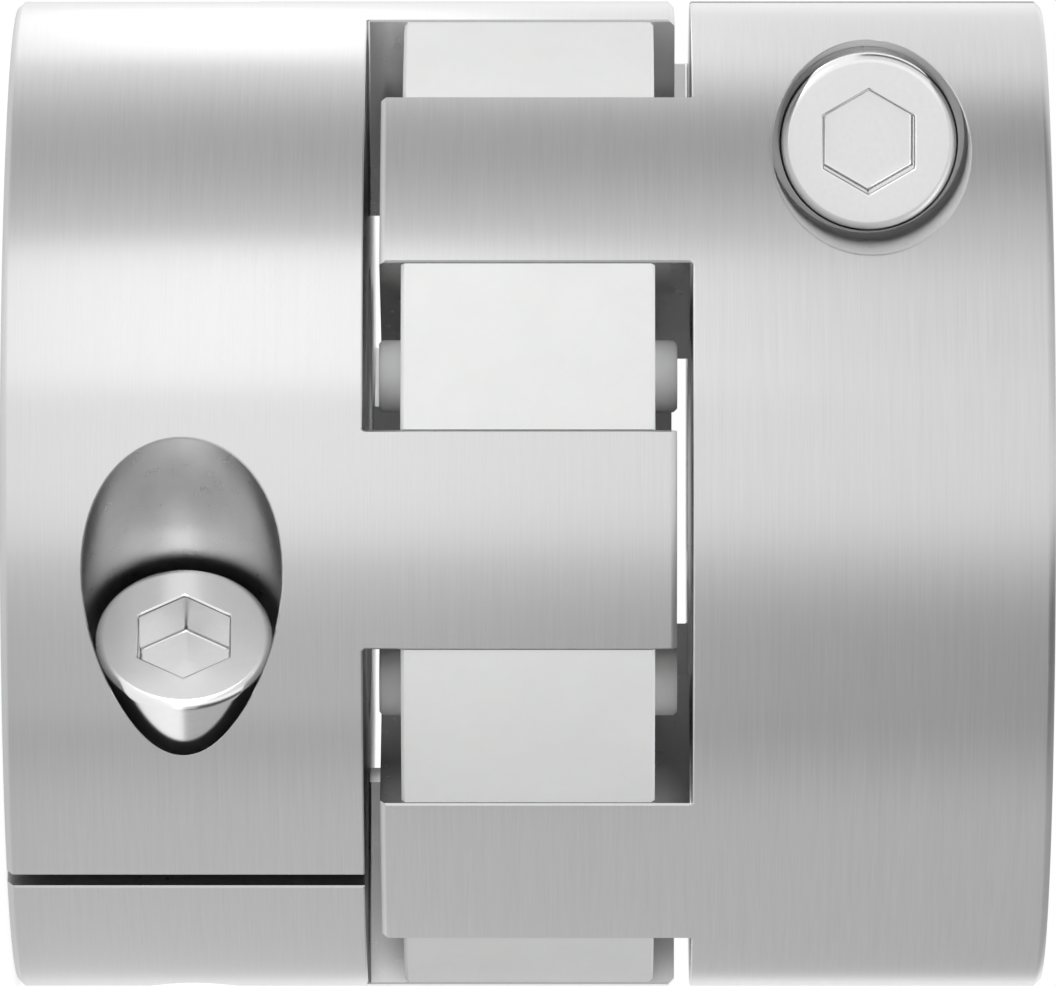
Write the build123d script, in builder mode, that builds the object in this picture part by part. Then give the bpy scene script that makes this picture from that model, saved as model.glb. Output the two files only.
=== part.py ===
from build123d import *
from math import asin, degrees
import os

# Jaw coupling for two shaft ends: two clamping hubs with axial jaws, and an elastomer spider
# whose legs fill the spaces between the jaws. Lengths are in millimetres, angles in degrees.
# The coupling stands on the end face of its lower hub. The origin is on the shaft axis in the
# plane of that face, and +Z runs along the axis to the upper hub.

# Hubs
hub_diameter = 56.0
hub_length = 19.9  # clamping body, without the jaws
bore_diameter = 25.0
bore_chamfer = 0.4
end_edge_chamfer = 0.4  # outer edge of the end face
edge_break = 0.1  # outer edges of the jaws, the inner face, the slit and the counterbore
face_gap = 18.2  # between the inner faces of the two hubs

# Jaws
jaw_count = 4  # on each hub
jaw_angle = 25.0
jaw_inner_diameter = 33.0
jaw_tip_clearance = 0.9  # from a jaw's tip to the other hub's face
jaw_tip_chamfer = 0.35  # outer edge of the tip
milled_corner_radius = 0.15  # between a jaw's flank and the hub's face

# Clamp: a slit through one side of the hub, closed by a screw across it
slit_width = 1.0
screw_rim = 7.1  # screw axis to the hub's outside
screw_height = 10.0  # screw axis to the hub's end face
seat_wall = 6.4  # slit to the seat under the screw head
head_clearance = 0.5  # radial, around the screw's head in its counterbore
shank_clearance = 0.2  # radial, around the screw on the head's side of the slit
thread_clearance = 0.05  # radial, around the screw on the far side

# Socket head cap screw, M6 x 20
thread_diameter = 6.0
screw_length = 20.0
tip_chamfer = 0.6
head_diameter = 10.0
head_edge_chamfer = 0.4
head_underside_chamfer = 0.2
hex_across_flats = 5.0
hex_depth = 3.0
hex_edge_break = 0.1

# Elastomer spider
spider_side_gap = 2.1  # from the spider's side to the hub's face
shaft_clearance = 0.6  # radial, between the spider's hole and the shafts
ring_clearance = 0.3  # radial, between the spider's ring and the jaws
leg_recess = 0.1  # legs below the hub's outside
leg_fit_gap = 0.05  # between a leg and a jaw
leg_edge_chamfer = 0.2
nub_diameter = 4.0
nub_end_gap = 0.85  # from a nub's end to the hub's face
nub_edge_chamfer = 0.2

# Sizes that follow
hub_radius = hub_diameter / 2
bore_radius = bore_diameter / 2
jaw_inner_radius = jaw_inner_diameter / 2
jaw_length = face_gap - jaw_tip_clearance
jaw_pitch = 360 / jaw_count
leg_count = 2 * jaw_count
coupling_length = 2 * hub_length + face_gap
screw_offset = hub_radius - screw_rim
counterbore_radius = head_diameter / 2 + head_clearance
clearance_hole_radius = thread_diameter / 2 + shank_clearance
threaded_hole_radius = thread_diameter / 2 + thread_clearance
seat_offset = slit_width / 2 + seat_wall
head_height = thread_diameter
spider_radius = hub_radius - leg_recess
spider_ring_radius = jaw_inner_radius - ring_clearance
spider_hole_radius = bore_radius + shaft_clearance
spider_width = face_gap - 2 * spider_side_gap
nub_pitch_radius = (spider_ring_radius + spider_radius) / 2

# Places. Each hub is modelled with its end face in XY, its jaws up and its slit along +X.
# The upper hub hangs upside down over the lower one, turned half a jaw pitch to interleave.
upper_slit_angle = 180.0
lower_slit_angle = upper_slit_angle + 1.5 * jaw_pitch
first_jaw_angle = lower_slit_angle + jaw_pitch / 2
first_leg_angle = first_jaw_angle + jaw_pitch / 4
lower_slit_direction = Vector(1, 0, 0).rotate(Axis.Z, lower_slit_angle)
upper_slit_direction = Vector(1, 0, 0).rotate(Axis.Z, upper_slit_angle)
lower_hub_plane = Plane((0, 0, 0), x_dir=lower_slit_direction, z_dir=(0, 0, 1))
upper_hub_plane = Plane((0, 0, coupling_length), x_dir=upper_slit_direction, z_dir=(0, 0, -1))

# The screw's seat on a hub, with the head standing outwards
seat_plane = Plane((screw_offset, -seat_offset, screw_height), x_dir=(1, 0, 0), z_dir=(0, -1, 0))
lower_seat_plane = Plane(lower_hub_plane * seat_plane)
upper_seat_plane = Plane(upper_hub_plane * seat_plane)


def ring_sector(inner_radius, outer_radius, angle, side_gap=0.0):
    """Sector of a ring, centred on +X. Its flat sides stand side_gap outside the angle."""
    inner_half = angle / 2 + degrees(asin(side_gap / inner_radius))
    outer_half = angle / 2 + degrees(asin(side_gap / outer_radius))
    with BuildSketch() as sector:
        with BuildLine():
            inner_arc = CenterArc((0, 0), inner_radius, -inner_half, 2 * inner_half)
            outer_arc = CenterArc((0, 0), outer_radius, -outer_half, 2 * outer_half)
            Line(inner_arc @ 0, outer_arc @ 0)
            Line(inner_arc @ 1, outer_arc @ 1)
        make_face()
    return sector.sketch


with BuildPart() as hub:
    # Turned blank: the clamping body and a ring that will be milled into jaws
    with BuildSketch(Plane.XZ) as blank:
        with BuildLine():
            Polyline(
                (bore_radius + bore_chamfer, 0),
                (hub_radius, 0),
                (hub_radius, hub_length + jaw_length),
                (jaw_inner_radius, hub_length + jaw_length),
                (jaw_inner_radius, hub_length),
                (bore_radius + bore_chamfer, hub_length),
                (bore_radius, hub_length - bore_chamfer),
                (bore_radius, bore_chamfer),
                close=True,
            )
        make_face()
        outer_corners = blank.vertices().group_by(Axis.X)[-1].sort_by(Axis.Y)
        chamfer(outer_corners[0], length=end_edge_chamfer)
        chamfer(outer_corners[-1], length=jaw_tip_chamfer)
    revolve(axis=Axis.Z)

    # Spaces between the jaws, the first one over the slit
    with BuildSketch(Plane.XY.offset(hub_length)):
        space = ring_sector(bore_radius, hub_diameter, jaw_pitch - jaw_angle)
        with PolarLocations(0, jaw_count):
            add(space)
    extrude(amount=jaw_length, mode=Mode.SUBTRACT)

    # Milled corners where the jaws' flanks meet the inner face
    corners = hub.edges().filter_by(GeomType.LINE).filter_by_position(Axis.Z, hub_length, hub_length)
    fillet(corners, radius=milled_corner_radius)

    # Slit, from the bore out through one side
    with BuildSketch():
        Rectangle(hub_diameter, slit_width, align=(Align.MIN, Align.CENTER))
    extrude(amount=hub_length, mode=Mode.SUBTRACT)

    # Broken edges around the slit, the inner face and the jaws' flanks, all on the hub's outside
    outside = hub.faces().filter_by(GeomType.CYLINDER).sort_by(SortBy.AREA)[-1]
    rims = outside.edges().group_by(Axis.Z)  # the first is at the end face, the last at the jaws' tips
    chamfer([edge for level in rims[1:-1] for edge in level], length=edge_break)

    # Head side: counterbore down to the seat, then a clear hole to the slit
    with Locations(seat_plane.offset(hub_radius)):
        CounterBoreHole(
            radius=clearance_hole_radius,
            counter_bore_radius=counterbore_radius,
            counter_bore_depth=hub_radius,
            depth=hub_radius + seat_offset,
        )
    counterbore_mouth = hub.edges(Select.LAST).sort_by(SortBy.LENGTH)[-1]
    chamfer(counterbore_mouth, length=edge_break)

    # Thread side: a hole from the slit out through the far side
    with Locations(seat_plane.offset(-seat_offset)):
        Hole(radius=threaded_hole_radius, depth=hub_radius)

with BuildPart(lower_hub_plane) as lower_hub:
    add(hub.part)

with BuildPart(upper_hub_plane) as upper_hub:
    add(hub.part)

with BuildPart() as spider:
    # Ring and legs: a disc with a pocket for every jaw of both hubs
    with BuildSketch(Plane.XY.offset(hub_length + spider_side_gap)):
        Circle(spider_radius)
        pocket = ring_sector(spider_ring_radius, hub_diameter, jaw_angle, side_gap=leg_fit_gap)
        with PolarLocations(0, leg_count, start_angle=first_jaw_angle):
            add(pocket, mode=Mode.SUBTRACT)
        Circle(spider_hole_radius, mode=Mode.SUBTRACT)
    extrude(amount=spider_width)
    leg_rims = spider.edges().filter_by(GeomType.CIRCLE).group_by(SortBy.RADIUS)[-1]
    chamfer(leg_rims, length=leg_edge_chamfer)

    # Spacer nubs on both sides of every leg
    with BuildSketch(Plane.XY.offset(hub_length + nub_end_gap)):
        with PolarLocations(nub_pitch_radius, leg_count, start_angle=first_leg_angle):
            Circle(nub_diameter / 2)
    extrude(amount=face_gap - 2 * nub_end_gap)
    nub_ends = spider.edges().group_by(Axis.Z)
    chamfer(nub_ends[0] + nub_ends[-1], length=nub_edge_chamfer)

with BuildPart() as clamp_screw:
    # Seat in XY, head up, thread down
    with BuildSketch(Plane.XZ) as screw_profile:
        with BuildLine():
            Polyline(
                (0, -screw_length),
                (thread_diameter / 2 - tip_chamfer, -screw_length),
                (thread_diameter / 2, tip_chamfer - screw_length),
                (thread_diameter / 2, 0),
                (head_diameter / 2, 0),
                (head_diameter / 2, head_height),
                (0, head_height),
                close=True,
            )
        make_face()
        head_corners = screw_profile.vertices().group_by(Axis.X)[-1].sort_by(Axis.Y)
        chamfer(head_corners[-1], length=head_edge_chamfer)
        chamfer(head_corners[0], length=head_underside_chamfer)
    revolve(axis=Axis.Z)

    # Hexagon socket, two corners in line with the slit
    with BuildSketch(Plane.XY.offset(head_height)):
        RegularPolygon(hex_across_flats / 2, side_count=6, major_radius=False)
    extrude(amount=-hex_depth, mode=Mode.SUBTRACT)
    socket_mouth = clamp_screw.edges().filter_by(GeomType.LINE).group_by(Axis.Z)[-1]
    chamfer(socket_mouth, length=hex_edge_break)

with BuildPart(lower_seat_plane) as lower_clamp_screw:
    add(clamp_screw.part)

with BuildPart(upper_seat_plane) as upper_clamp_screw:
    add(clamp_screw.part)

lower_hub.part.label = "lower_hub"
upper_hub.part.label = "upper_hub"
spider.part.label = "spider"
lower_clamp_screw.part.label = "lower_clamp_screw"
upper_clamp_screw.part.label = "upper_clamp_screw"

os.makedirs("parts", exist_ok=True)
export_step(lower_hub.part, "parts/lower_hub.step")
export_step(upper_hub.part, "parts/upper_hub.step")
export_step(spider.part, "parts/spider.step")
export_step(lower_clamp_screw.part, "parts/lower_clamp_screw.step")
export_step(upper_clamp_screw.part, "parts/upper_clamp_screw.step")
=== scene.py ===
from math import cos, pi, radians, sin, tau

import bmesh
import bpy
from mathutils import Matrix, Vector


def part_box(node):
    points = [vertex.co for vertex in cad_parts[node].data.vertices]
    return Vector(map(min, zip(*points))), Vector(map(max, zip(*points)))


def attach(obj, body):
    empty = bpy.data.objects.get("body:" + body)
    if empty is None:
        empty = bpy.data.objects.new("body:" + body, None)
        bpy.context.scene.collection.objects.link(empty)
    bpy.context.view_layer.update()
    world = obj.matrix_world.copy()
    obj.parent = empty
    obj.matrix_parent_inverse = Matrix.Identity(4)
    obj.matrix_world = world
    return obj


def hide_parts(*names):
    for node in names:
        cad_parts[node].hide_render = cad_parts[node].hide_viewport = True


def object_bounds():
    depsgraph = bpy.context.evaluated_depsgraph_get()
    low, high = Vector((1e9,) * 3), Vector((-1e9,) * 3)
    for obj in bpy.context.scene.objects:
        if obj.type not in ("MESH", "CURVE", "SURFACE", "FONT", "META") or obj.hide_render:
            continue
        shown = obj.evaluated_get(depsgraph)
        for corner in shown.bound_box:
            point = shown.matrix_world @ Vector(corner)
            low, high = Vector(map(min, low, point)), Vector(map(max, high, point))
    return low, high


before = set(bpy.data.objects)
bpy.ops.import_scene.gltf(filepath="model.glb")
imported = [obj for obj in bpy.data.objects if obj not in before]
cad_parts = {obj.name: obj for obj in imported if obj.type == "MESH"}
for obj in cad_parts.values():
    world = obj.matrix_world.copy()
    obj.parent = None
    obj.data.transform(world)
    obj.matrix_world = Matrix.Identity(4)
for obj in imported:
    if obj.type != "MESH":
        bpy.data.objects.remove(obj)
cad_low, cad_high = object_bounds()

# Lengths are in metres, in the row's frame: the coupling stands on its lower end, its axis along +Z.
MM = 0.001
HUB_RADIUS = cad_high.y
COUPLING_LENGTH = cad_high.z
UPWARDS = Vector((0, 0, 1))

# The photograph shows the coupling lying, so the camera is rolled and +Z points to its right.
CAMERA_TURN = radians(264.65)  # direction of the camera from the axis, round Z from +X
TO_CAMERA = Vector((cos(CAMERA_TURN), sin(CAMERA_TURN), 0))
VIEW_UP = Vector((sin(CAMERA_TURN), -cos(CAMERA_TURN), 0))
VIEW_RIGHT = UPWARDS
CAMERA_DISTANCE = 784 * MM
CAMERA_HEIGHT = 31.54 * MM
AIM_HEIGHT = 28.92 * MM  # where the camera's line of sight meets the axis
CAMERA_LENS = 469.7  # millimetres, on a sensor 36 wide

# Materials
NOISE_LOW = 0.3  # most of a noise texture's values lie between these two
NOISE_HIGH = 0.7
FINE_SHARE = 0.6  # of the fine streaks in the brushed finish
BROAD_SHARE = 0.4
SAME_DIRECTION = 0.99  # cosine over which a facet belongs to the turned outside

# Faces of the CAD nodes
WELD_DISTANCE = 0.001 * MM
SHARP_ANGLE = radians(50)
RIM_DEPTH = 0.6 * MM  # the outside, with its chamfers, lies within this of the hub's radius
END_DEPTH = 0.05 * MM
FACES_OUT = 0.6  # cosine over which a face looks outwards

# Soft light round the axis, in degrees from the camera towards the top of its view:
# centre, half width, soft edge and strength of each strip.
STRIPS = {
    "front": (28, 27, 34, 0.76),
    "centre": (6, 8, 20, 0.26),
    "top_back": (134, 12, 24, 1.0),
    "backdrop": (180, 14, 15, 1.0),
    "low_back": (-118, 34, 30, 0.4),
}
BASE_LIGHT = 0.09
DIFFUSE_FILL = 0.34  # more even light, on matt surfaces only

# Lamps beside the lower end, whose light falls off towards the upper one: angle and brightness.
LAMPS = {
    "key_low": (-30, 0.5),
    "key": (3, 0.7),
    "key_high": (35, 1.9),
    "rim": (120, 1.2),
}
LAMP_DISTANCE = 80 * MM
LAMP_WIDTH = 44 * MM
LAMP_LENGTH = 22 * MM
LAMP_MIDDLE = 12 * MM  # height of the lamps' middle

# Floor
FLOOR_RADIUS = 0.6
FLOOR_SEGMENTS = 96
FLOOR_GAP = 0.01 * MM  # under the coupling's end face
FLOOR_GLOW = 0.72  # with the light that falls on it, this makes the floor white

# Socket head cap screw M6, in its own frame: seat in XY, head towards +Z, a hexagon corner on +X.
upper_screw_low, upper_screw_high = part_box("upper_clamp_screw")
HEAD_RADIUS = (upper_screw_high.z - upper_screw_low.z) / 2
HEAD_EDGE = 0.5 * MM  # rounding
HEAD_UNDERSIDE = 0.2 * MM  # chamfer
HEAD_FLAT = 0.05 * MM  # narrow ring inside the rounding, which keeps the head's face flat
THREAD_RADIUS = 3 * MM
HEAD_HEIGHT = 2 * THREAD_RADIUS
NECK_RADIUS = THREAD_RADIUS - 0.1 * MM
TIP_CHAMFER = 0.6 * MM
PITCH = 1 * MM
ROOT_RADIUS = 2.39 * MM
THREAD_END = -1.5 * MM  # height at which the thread runs out under the head
HEX_HALF_WIDTH = 2.5 * MM
HEX_DEPTH = 3 * MM
HEX_MOUTH = 0.16 * MM  # broken edge round the socket
HEX_CORNER = 0.16 * MM  # rounding at the socket's floor
SCREW_LENGTH = upper_screw_high.y - upper_screw_low.y - HEAD_HEIGHT
COLUMNS = 72  # round the screw
EDGE_STEPS = 6  # along the head's rounding

# Place of a screw on its hub
SCREW_OFFSET = -(upper_screw_low.x + upper_screw_high.x) / 2  # from the shaft axis, towards the slit
SCREW_INSET = COUPLING_LENGTH - (upper_screw_low.z + upper_screw_high.z) / 2  # from the hub's end
SEAT_OFFSET = -upper_screw_low.y - HEAD_HEIGHT  # from the slit's middle
LOWER_SLIT_TURN = radians(315)  # round Z from +X
LOWER_SLIT = Vector((cos(LOWER_SLIT_TURN), sin(LOWER_SLIT_TURN), 0))
UPPER_SLIT = Vector((-1, 0, 0))


# ---------------------------------------------------------------- node helpers

def add_node(tree, kind, inputs=None, **options):
    """Adds a node. Options are its properties, and inputs gives its sockets a value or a link."""
    node = tree.nodes.new(kind)
    for name, value in options.items():
        setattr(node, name, value)
    for key, value in (inputs or {}).items():
        if isinstance(value, bpy.types.NodeSocket):
            tree.links.new(value, node.inputs[key])
        else:
            node.inputs[key].default_value = value
    return node


def calculate(tree, operation, *values):
    """A Math node's result."""
    return add_node(tree, "ShaderNodeMath", dict(enumerate(values)), operation=operation).outputs[0]


def vector(tree, operation, *values, output=0):
    """A Vector Math node's result: output 0 is a vector, and output 1 a number."""
    node = add_node(tree, "ShaderNodeVectorMath", dict(enumerate(values)), operation=operation)
    return node.outputs[output]


def remap(tree, value, low, high, to_low=0.0, to_high=1.0, smooth=False):
    """A value carried from one range to another, and kept within it."""
    kind = "SMOOTHSTEP" if smooth else "LINEAR"
    inputs = {0: value, 1: low, 2: high, 3: to_low, 4: to_high}
    return add_node(tree, "ShaderNodeMapRange", inputs, interpolation_type=kind).outputs[0]


def noise(tree, coordinates, scale=1.0, detail=2.0, roughness=0.5):
    inputs = {"Vector": coordinates, "Scale": scale, "Detail": detail, "Roughness": roughness}
    return add_node(tree, "ShaderNodeTexNoise", inputs, noise_dimensions="3D").outputs["Fac"]


def from_noise(tree, pattern, to_low=0.0, to_high=1.0):
    """A noise pattern carried to a range that it fills."""
    return remap(tree, pattern, NOISE_LOW, NOISE_HIGH, to_low, to_high)


def grey(value):
    return (value, value, value, 1)


def grey_between(tree, factor, dark, light):
    """A grey that a pattern carries from dark to light."""
    inputs = {0: factor, 6: grey(dark), 7: grey(light)}
    return add_node(tree, "ShaderNodeMix", inputs, data_type="RGBA").outputs[2]


def object_place(tree):
    return add_node(tree, "ShaderNodeTexCoord").outputs["Object"]


def new_material(name, **sockets):
    """A material with one Principled shader, and the shader's constant sockets."""
    material = bpy.data.materials.new(name)
    material.use_nodes = True
    tree = material.node_tree
    shader = tree.nodes["Principled BSDF"]
    for socket, value in sockets.items():
        shader.inputs[socket.replace("_", " ")].default_value = value
    return material, tree, shader


# ---------------------------------------------------------------- materials

def around_the_axis(tree):
    """Object coordinates about the shaft axis: (unit vector away from it, radius, height)."""
    place = object_place(tree)
    flat = vector(tree, "MULTIPLY", place, (1, 1, 0))
    radius = vector(tree, "LENGTH", flat, output=1)
    height = add_node(tree, "ShaderNodeSeparateXYZ", {0: place}).outputs[2]
    return vector(tree, "NORMALIZE", flat), radius, height


def streaks(tree, away, along_profile, length, width, detail, roughness):
    """Noise drawn out round the axis: marks of an angular length, and a width across them."""
    inputs = {0: away, "Scale": 1 / length}
    drawn_out = add_node(tree, "ShaderNodeVectorMath", inputs, operation="SCALE").outputs[0]
    across = calculate(tree, "DIVIDE", along_profile, width)
    shift = add_node(tree, "ShaderNodeCombineXYZ", {2: across}).outputs[0]
    return noise(tree, vector(tree, "ADD", drawn_out, shift), 1.0, detail, roughness)


def outside_normal(tree, away):
    """The true cylinder's normal on the turned outside, where the mesh has facets."""
    surface = add_node(tree, "ShaderNodeNewGeometry").outputs
    facet = vector(tree, "DOT_PRODUCT", surface["True Normal"], away, output=1)
    on_cylinder = calculate(tree, "GREATER_THAN", facet, SAME_DIRECTION)
    inputs = {0: on_cylinder, 4: surface["Normal"], 5: away}
    return add_node(tree, "ShaderNodeMix", inputs, data_type="VECTOR").outputs[1]


def brushed_aluminium():
    """Turned aluminium, brushed round the axis: fine streaks, and highlights spread along the axis."""
    material, tree, shader = new_material(
        "brushed_aluminium", Metallic=1.0, Anisotropic=0.9, Anisotropic_Rotation=0.25
    )
    away, radius, height = around_the_axis(tree)
    along_profile = calculate(tree, "ADD", height, radius)
    fine = streaks(tree, away, along_profile, length=0.16, width=0.07 * MM, detail=3, roughness=0.6)
    broad = streaks(tree, away, along_profile, length=0.5, width=0.35 * MM, detail=4, roughness=0.65)
    fine_part = calculate(tree, "MULTIPLY", fine, FINE_SHARE)
    broad_part = calculate(tree, "MULTIPLY", broad, BROAD_SHARE)
    brushing = calculate(tree, "ADD", fine_part, broad_part)
    colour = grey_between(tree, from_noise(tree, brushing), 0.58, 0.66)
    tree.links.new(colour, shader.inputs["Base Color"])
    tree.links.new(from_noise(tree, brushing, 0.36, 0.44), shader.inputs["Roughness"])
    relief = {"Strength": 0.5, "Distance": 0.002 * MM, "Height": brushing}
    relief["Normal"] = outside_normal(tree, away)
    bump = add_node(tree, "ShaderNodeBump", relief)
    tree.links.new(bump.outputs[0], shader.inputs["Normal"])
    tangent = add_node(tree, "ShaderNodeTangent", direction_type="RADIAL", axis="Z")
    tree.links.new(tangent.outputs[0], shader.inputs["Tangent"])
    return material


def machined_aluminium():
    """Milled and bored faces of the hubs: smoother than the outside, with faint cutter marks."""
    material, tree, shader = new_material("machined_aluminium", Metallic=1.0)
    marks = noise(tree, object_place(tree), scale=1 / (0.8 * MM), detail=5, roughness=0.6)
    colour = grey_between(tree, from_noise(tree, marks), 0.56, 0.59)
    tree.links.new(colour, shader.inputs["Base Color"])
    tree.links.new(from_noise(tree, marks, 0.27, 0.30), shader.inputs["Roughness"])
    return material


def polished_steel():
    """Bright screws: smooth, with a fine grain."""
    material, tree, shader = new_material("polished_steel", Metallic=1.0)
    grain = noise(tree, object_place(tree), scale=1 / (0.3 * MM), detail=4, roughness=0.6)
    colour = grey_between(tree, from_noise(tree, grain), 0.79, 0.82)
    tree.links.new(colour, shader.inputs["Base Color"])
    tree.links.new(from_noise(tree, grain, 0.19, 0.21), shader.inputs["Roughness"])
    return material


def white_polyurethane():
    """Cast elastomer: matt white, slightly translucent, with a faint moulded skin."""
    material, tree, shader = new_material(
        "white_polyurethane", IOR=1.45, Specular_IOR_Level=0.3,
        Subsurface_Weight=0.15, Subsurface_Scale=0.4 * MM,
    )
    place = object_place(tree)
    clouds = noise(tree, place, scale=1 / (4 * MM), detail=3, roughness=0.5)
    skin = noise(tree, place, scale=1 / (0.25 * MM), detail=3, roughness=0.5)
    colour = grey_between(tree, from_noise(tree, clouds), 0.86, 0.89)
    tree.links.new(colour, shader.inputs["Base Color"])
    tree.links.new(from_noise(tree, skin, 0.5, 0.62), shader.inputs["Roughness"])
    bump = add_node(tree, "ShaderNodeBump", {"Strength": 0.3, "Distance": 0.004 * MM, "Height": skin})
    tree.links.new(bump.outputs[0], shader.inputs["Normal"])
    return material


# ---------------------------------------------------------------- finish of the faces

def turned_faces(tree):
    """Over 0.5 for a face on a hub's turned outside or on an end of the coupling."""
    normal = add_node(tree, "GeometryNodeInputNormal").outputs[0]
    place = add_node(tree, "GeometryNodeInputPosition").outputs[0]
    flat = vector(tree, "MULTIPLY", place, (1, 1, 0))
    radius = vector(tree, "LENGTH", flat, output=1)
    outward = vector(tree, "DOT_PRODUCT", normal, vector(tree, "NORMALIZE", flat), output=1)
    height = add_node(tree, "ShaderNodeSeparateXYZ", {0: place}).outputs[2]
    at_rim = calculate(tree, "GREATER_THAN", radius, HUB_RADIUS - RIM_DEPTH)
    looks_out = calculate(tree, "GREATER_THAN", outward, FACES_OUT)
    on_outside = calculate(tree, "MULTIPLY", at_rim, looks_out)
    middle = calculate(tree, "SUBTRACT", height, COUPLING_LENGTH / 2)
    from_middle = calculate(tree, "ABSOLUTE", middle)
    at_end = calculate(tree, "GREATER_THAN", from_middle, COUPLING_LENGTH / 2 - END_DEPTH)
    return calculate(tree, "ADD", on_outside, at_end)


def face_finish(name, machined=None):
    """Geometry nodes that join a piece's faces and keep its corners sharp. A machined material goes
    on every face that isn't on the turned outside or an end."""
    tree = bpy.data.node_groups.new(name, "GeometryNodeTree")
    tree.interface.new_socket("Geometry", in_out="INPUT", socket_type="NodeSocketGeometry")
    tree.interface.new_socket("Geometry", in_out="OUTPUT", socket_type="NodeSocketGeometry")
    mesh = add_node(tree, "NodeGroupInput").outputs[0]
    joined = add_node(tree, "GeometryNodeMergeByDistance", {"Geometry": mesh, "Distance": WELD_DISTANCE})
    corner = add_node(tree, "GeometryNodeInputMeshEdgeAngle").outputs["Unsigned Angle"]
    sharp = add_node(tree, "FunctionNodeCompare", {0: corner, 1: SHARP_ANGLE}, operation="GREATER_THAN")
    shaded = add_node(
        tree, "GeometryNodeSetShadeSmooth",
        {"Geometry": joined.outputs[0], "Selection": sharp.outputs[0], "Shade Smooth": False},
        domain="EDGE",
    )
    last = shaded.outputs[0]
    if machined:
        inside = add_node(tree, "FunctionNodeCompare", {0: turned_faces(tree), 1: 0.5}, operation="LESS_THAN")
        finished = add_node(
            tree, "GeometryNodeSetMaterial",
            {"Geometry": last, "Selection": inside.outputs[0], "Material": machined},
        )
        last = finished.outputs[0]
    add_node(tree, "NodeGroupOutput", {0: last})
    return tree


def add_finish(piece, faces):
    """Narrow chamfers take their normals from the wide faces beside them, and so shade round."""
    piece.modifiers.new("faces", "NODES").node_group = faces
    rounding = piece.modifiers.new("rounding", "WEIGHTED_NORMAL")
    rounding.mode = "FACE_AREA_WITH_ANGLE"
    rounding.weight = 50
    rounding.keep_sharp = True


def finish_node(name, material, faces):
    """A CAD node keeps its mesh, and gets its material and the modifiers that shade it."""
    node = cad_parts[name]
    node.data.materials.clear()
    node.data.materials.append(material)
    add_finish(node, faces)


def dress_hubs():
    turned = brushed_aluminium()
    faces = face_finish("hub_faces", machined_aluminium())
    finish_node("lower_hub", turned, faces)
    finish_node("upper_hub", turned, faces)


def dress_spider():
    finish_node("spider", white_polyurethane(), face_finish("spider_faces"))


# ---------------------------------------------------------------- screws

def thread_radius(height):
    """The screw's radius at its crests, with the chamfer at its tip."""
    tip_radius = THREAD_RADIUS - TIP_CHAMFER
    return min(THREAD_RADIUS, tip_radius + height + SCREW_LENGTH)


def add_point(shape, radius, column, height):
    angle = tau * column / COLUMNS
    return shape.verts.new((radius * cos(angle), radius * sin(angle), height))


def round_ring(shape, radius, height):
    """A circle of vertices round +Z."""
    return [add_point(shape, radius, column, height) for column in range(COLUMNS)]


def hexagon_ring(shape, half_width, height):
    """A hexagon of vertices round +Z, which has a corner on +X."""
    ring = []
    for column in range(COLUMNS):
        from_flat = tau * column / COLUMNS % (tau / 6) - tau / 12
        ring.append(add_point(shape, half_width / cos(from_flat), column, height))
    return ring


def join_rings(shape, rings):
    for lower, upper in zip(rings, rings[1:]):
        for column in range(COLUMNS):
            after = (column + 1) % COLUMNS
            shape.faces.new((lower[column], lower[after], upper[after], upper[column]))


def add_head(shape):
    """Head from its underside to the socket's floor. Returns the ring where the neck joins it."""
    edge_height = HEAD_HEIGHT - HEAD_EDGE
    socket_floor = HEAD_HEIGHT - HEX_DEPTH
    rings = [
        round_ring(shape, NECK_RADIUS, 0),
        round_ring(shape, HEAD_RADIUS - HEAD_UNDERSIDE, 0),
        round_ring(shape, HEAD_RADIUS, HEAD_UNDERSIDE),
        round_ring(shape, HEAD_RADIUS, edge_height),
    ]
    for step in range(1, EDGE_STEPS + 1):
        turn = pi / 2 * step / EDGE_STEPS
        radius = HEAD_RADIUS - HEAD_EDGE * (1 - cos(turn))
        rings.append(round_ring(shape, radius, edge_height + HEAD_EDGE * sin(turn)))
    rings.append(round_ring(shape, HEAD_RADIUS - HEAD_EDGE - HEAD_FLAT, HEAD_HEIGHT))

    # The broken edge curves down into the socket, as shares of its width and depth.
    for inset, drop in ((0, 0), (0.3, 0.05), (0.7, 0.3), (1, 1)):
        half_width = HEX_HALF_WIDTH + HEX_MOUTH * (1 - inset)
        rings.append(hexagon_ring(shape, half_width, HEAD_HEIGHT - HEX_MOUTH * drop))

    # The walls end in a rounding at the floor, as shares of its radius.
    for inset, rise in ((0, 1), (0.3, 0.3), (1, 0)):
        half_width = HEX_HALF_WIDTH - HEX_CORNER * inset
        rings.append(hexagon_ring(shape, half_width, socket_floor + HEX_CORNER * rise))
    join_rings(shape, rings)
    shape.faces.new(rings[-1])
    return rings[0]


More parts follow.
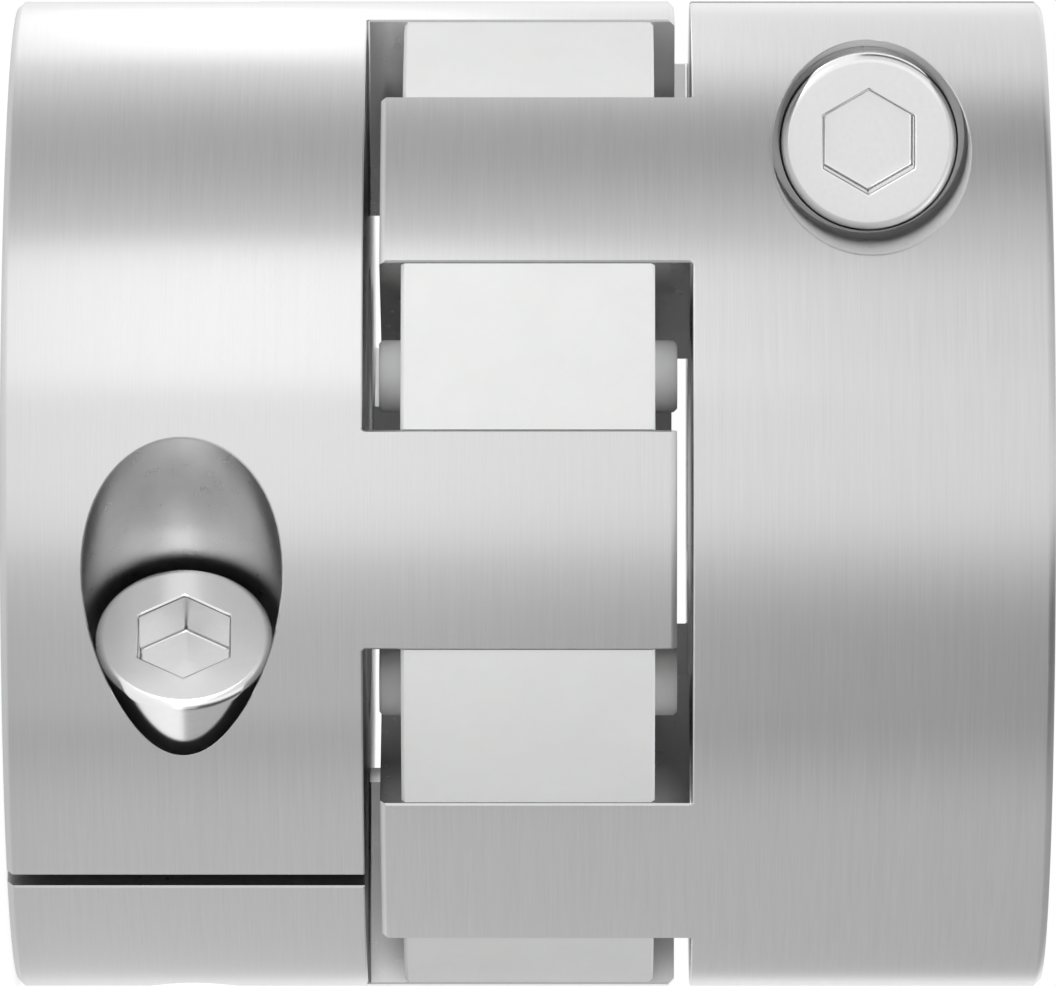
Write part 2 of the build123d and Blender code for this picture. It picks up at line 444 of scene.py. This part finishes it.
def add_thread(shape, neck):
    """Helical thread from the tip to the neck. Its rows follow the helix, cut off level at both ends."""
    tip = -SCREW_LENGTH
    neck_radius = neck[0].co.xy.length
    # Root and crest of one turn, as shares of the pitch
    profile = ((0, ROOT_RADIUS), (0.25, ROOT_RADIUS), (0.5625, THREAD_RADIUS), (0.6875, THREAD_RADIUS))
    rows = len(profile) * (int(SCREW_LENGTH / PITCH) + 2)
    found = {}

    def grid(length):
        """Whole tenths of a micrometre, so that points in one place share a vertex."""
        return round(length * 1e7)

    def vertex(column, row):
        row += len(profile) * (column // COLUMNS)
        column %= COLUMNS
        share, radius = profile[row % len(profile)]
        height = tip + PITCH * (row // len(profile) - 1 + share + column / COLUMNS)
        if height > THREAD_END:
            height = THREAD_END
            radius = neck_radius
        height = max(height, tip)
        radius = min(radius, thread_radius(height))
        if height == tip:
            radius = thread_radius(tip)
        key = (column, grid(height), grid(radius))
        if key not in found:
            found[key] = add_point(shape, radius, column, height)
        return found[key]

    for row in range(rows):
        for column in range(COLUMNS):
            lower = [vertex(column, row), vertex(column + 1, row)]
            upper = [vertex(column + 1, row + 1), vertex(column, row + 1)]
            corners = list(dict.fromkeys(lower + upper))
            if len(corners) > 2 and not shape.faces.get(corners):
                shape.faces.new(corners)
    tip_ring = [found[key] for key in sorted(found) if key[1] == grid(tip)]
    end_ring = [found[key] for key in sorted(found) if key[1] == grid(THREAD_END)]
    shape.faces.new(tip_ring[::-1])
    join_rings(shape, [end_ring, neck])


def make_screw(name, slit, jaws, end_height, faces, steel):
    """A clamp screw in its hub, whose slit and jaws point in the given directions."""
    shape = bmesh.new()
    add_thread(shape, add_head(shape))
    bmesh.ops.recalc_face_normals(shape, faces=shape.faces)
    mesh = bpy.data.meshes.new(name + "_detailed")
    shape.to_mesh(mesh)
    shape.free()
    for face in mesh.polygons:
        face.use_smooth = True
    head = -jaws.cross(slit)
    place = slit * SCREW_OFFSET + head * SEAT_OFFSET + jaws * SCREW_INSET + UPWARDS * end_height
    turn = Matrix((slit, head.cross(slit), head)).transposed().to_4x4()
    mesh.transform(Matrix.Translation(place) @ turn)
    mesh.materials.append(steel)
    screw = bpy.data.objects.new(name + "_detailed", mesh)
    bpy.context.scene.collection.objects.link(screw)
    add_finish(screw, faces)
    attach(screw, "root")
    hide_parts(name)


def make_screws():
    faces = face_finish("screw_faces")
    steel = polished_steel()
    make_screw("lower_clamp_screw", LOWER_SLIT, UPWARDS, 0, faces, steel)
    make_screw("upper_clamp_screw", UPPER_SLIT, -UPWARDS, COUPLING_LENGTH, faces, steel)


# ---------------------------------------------------------------- floor, light and camera

def direction(angle):
    """The direction at an angle round the axis, from the camera towards the top of its view."""
    return TO_CAMERA * cos(angle) + VIEW_UP * sin(angle)


def make_floor():
    """A pale round floor. It looks white to the camera and in metal, and keeps the object's shadow."""
    mesh = bpy.data.meshes.new("floor")
    shape = bmesh.new()
    bmesh.ops.create_circle(shape, cap_ends=True, segments=FLOOR_SEGMENTS, radius=FLOOR_RADIUS)
    shape.to_mesh(mesh)
    shape.free()
    floor = bpy.data.objects.new("floor", mesh)
    floor.location.z = -FLOOR_GAP
    bpy.context.scene.collection.objects.link(floor)
    material, tree, shader = new_material("floor", Roughness=0.9, Specular_IOR_Level=0.1)
    mottle = noise(tree, object_place(tree), scale=40, detail=3, roughness=0.5)
    tree.links.new(grey_between(tree, mottle, 0.37, 0.39), shader.inputs["Base Color"])
    path = add_node(tree, "ShaderNodeLightPath").outputs
    seen = calculate(tree, "MAXIMUM", path["Is Camera Ray"], path["Is Transmission Ray"])
    seen = calculate(tree, "MAXIMUM", seen, path["Is Glossy Ray"])
    shader.inputs["Emission Color"].default_value = grey(1)
    tree.links.new(calculate(tree, "MULTIPLY", seen, FLOOR_GLOW), shader.inputs["Emission Strength"])
    mesh.materials.append(material)


def studio_world():
    """Long soft lights parallel to the axis. The camera sees plain white instead of them, and metal
    sees white only in the backdrop strip, straight behind the object."""
    world = bpy.data.worlds.new("studio")
    bpy.context.scene.world = world
    world.use_nodes = True
    tree = world.node_tree
    background = tree.nodes["Background"].inputs
    ray = add_node(tree, "ShaderNodeTexCoord").outputs["Generated"]
    away = vector(tree, "NORMALIZE", vector(tree, "MULTIPLY", ray, (1, 1, 0)))
    path = add_node(tree, "ShaderNodeLightPath").outputs
    fill = calculate(tree, "MULTIPLY", path["Is Diffuse Ray"], DIFFUSE_FILL)
    total = calculate(tree, "ADD", fill, BASE_LIGHT)
    for centre, half_width, edge, strength in STRIPS.values():
        near = vector(tree, "DOT_PRODUCT", away, direction(radians(centre)), output=1)
        outer = cos(radians(half_width + edge))
        inner = cos(radians(half_width))
        lit = remap(tree, near, outer, inner, 0, strength, smooth=True)
        total = calculate(tree, "ADD", lit, total)
    seen = calculate(tree, "MAXIMUM", path["Is Camera Ray"], path["Is Transmission Ray"])
    shown = add_node(tree, "ShaderNodeMix", {0: seen, 2: total, 3: 1.0}).outputs[0]
    tree.links.new(shown, background["Strength"])
    background["Color"].default_value = grey(1)


def make_lamps():
    """Area lamps that face the axis. A lamp's power is its brightness times pi times its area."""
    for name, (angle, brightness) in LAMPS.items():
        lamp = bpy.data.lights.new(name, "AREA")
        lamp.shape = "RECTANGLE"
        lamp.size = LAMP_WIDTH
        lamp.size_y = LAMP_LENGTH
        lamp.energy = brightness * pi * LAMP_WIDTH * LAMP_LENGTH
        holder = bpy.data.objects.new(name, lamp)
        holder.visible_camera = False
        bpy.context.scene.collection.objects.link(holder)
        back = direction(radians(angle))
        middle = back * LAMP_DISTANCE + UPWARDS * LAMP_MIDDLE
        turn = Matrix((UPWARDS.cross(back), UPWARDS, back)).transposed().to_4x4()
        holder.matrix_world = Matrix.Translation(middle) @ turn


def make_camera():
    """A long lens, rolled, and turned a little towards the lower end."""
    camera = bpy.data.cameras.new("camera")
    camera.sensor_width = 36
    camera.lens = CAMERA_LENS
    camera.clip_start = 0.1
    camera.clip_end = 20
    holder = bpy.data.objects.new("camera", camera)
    bpy.context.scene.collection.objects.link(holder)
    eye = TO_CAMERA * CAMERA_DISTANCE + UPWARDS * CAMERA_HEIGHT
    back = (eye - UPWARDS * AIM_HEIGHT).normalized()
    right = VIEW_UP.cross(back).normalized()
    turn = Matrix((right, back.cross(right), back)).transposed().to_4x4()
    holder.matrix_world = Matrix.Translation(eye) @ turn
    bpy.context.scene.camera = holder


dress_hubs()
dress_spider()
make_screws()
make_floor()
studio_world()
make_lamps()
make_camera()
bpy.context.scene.view_settings.view_transform = "Standard"
